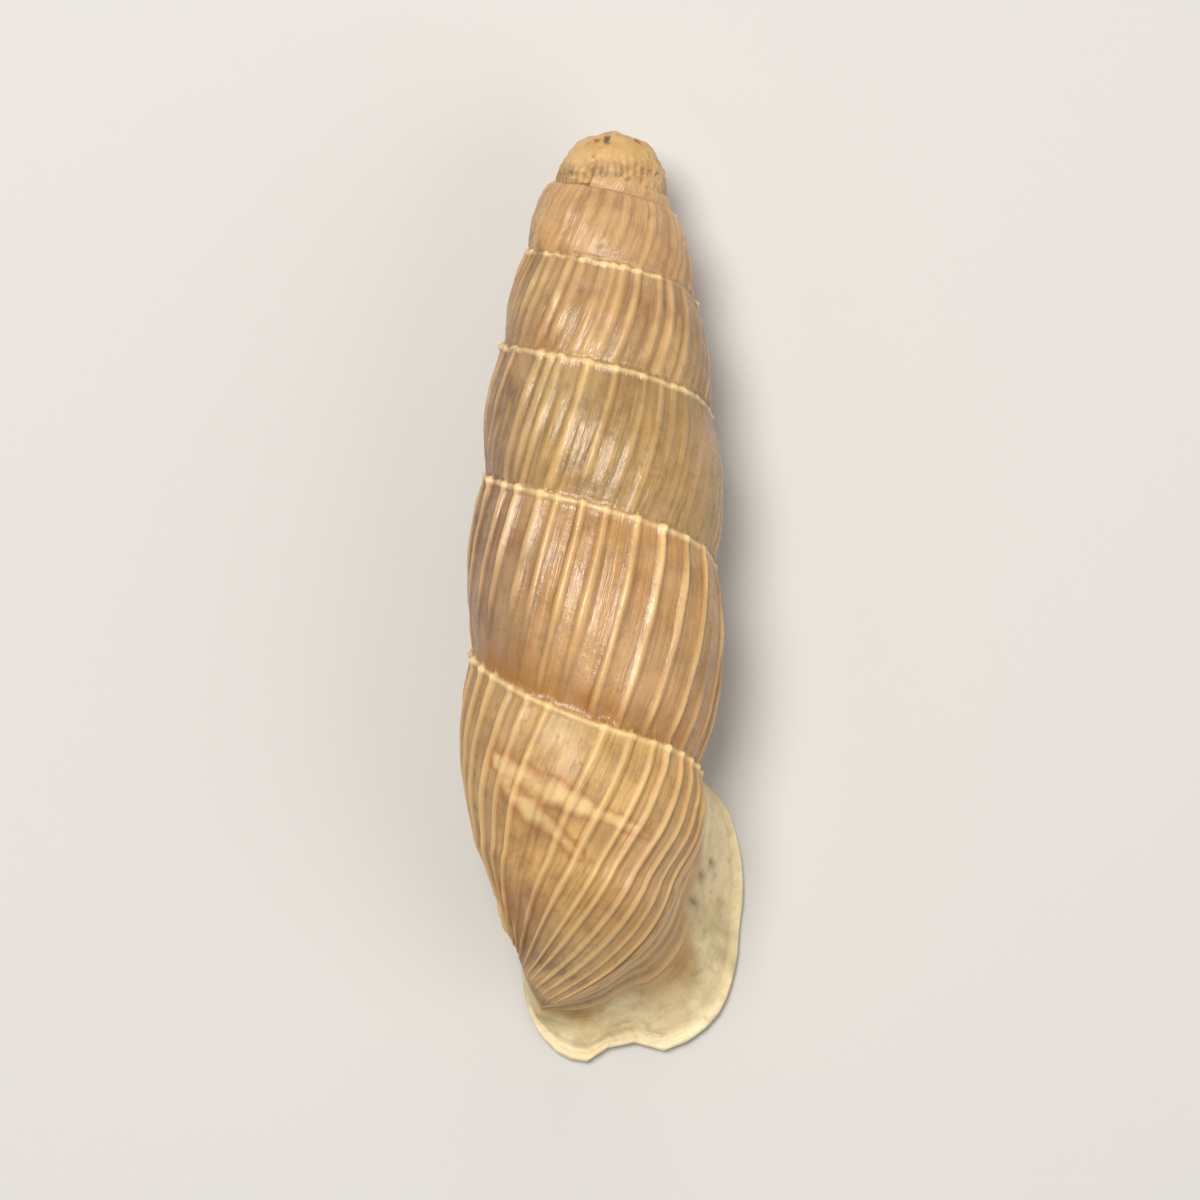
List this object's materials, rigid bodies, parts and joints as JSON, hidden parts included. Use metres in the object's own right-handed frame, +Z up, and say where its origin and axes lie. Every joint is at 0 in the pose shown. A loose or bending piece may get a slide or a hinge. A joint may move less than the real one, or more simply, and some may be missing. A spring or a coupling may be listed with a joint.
{
  "type": "land snail shell",
  "caption": "Tall spindle-shaped land snail shell with ribbed whorls, shallow crenulated sutures, a flared lip and a broken-off, sealed tip, lying on its mouth.",
  "frame": {"origin": "middle of the footprint, on the surface the shell lies on", "axes": "+Z up, towards the shell's back; +Y towards the broken tip; +X towards the outer side of the lip"},
  "size_m": [0.0076, 0.0254, 0.0075],
  "materials": {
    "shell_wall": "waxy, half gloss, slightly translucent"
  },
  "bodies": {
    "root": {"shell": "shell_wall"}
  },
  "joints": []
}
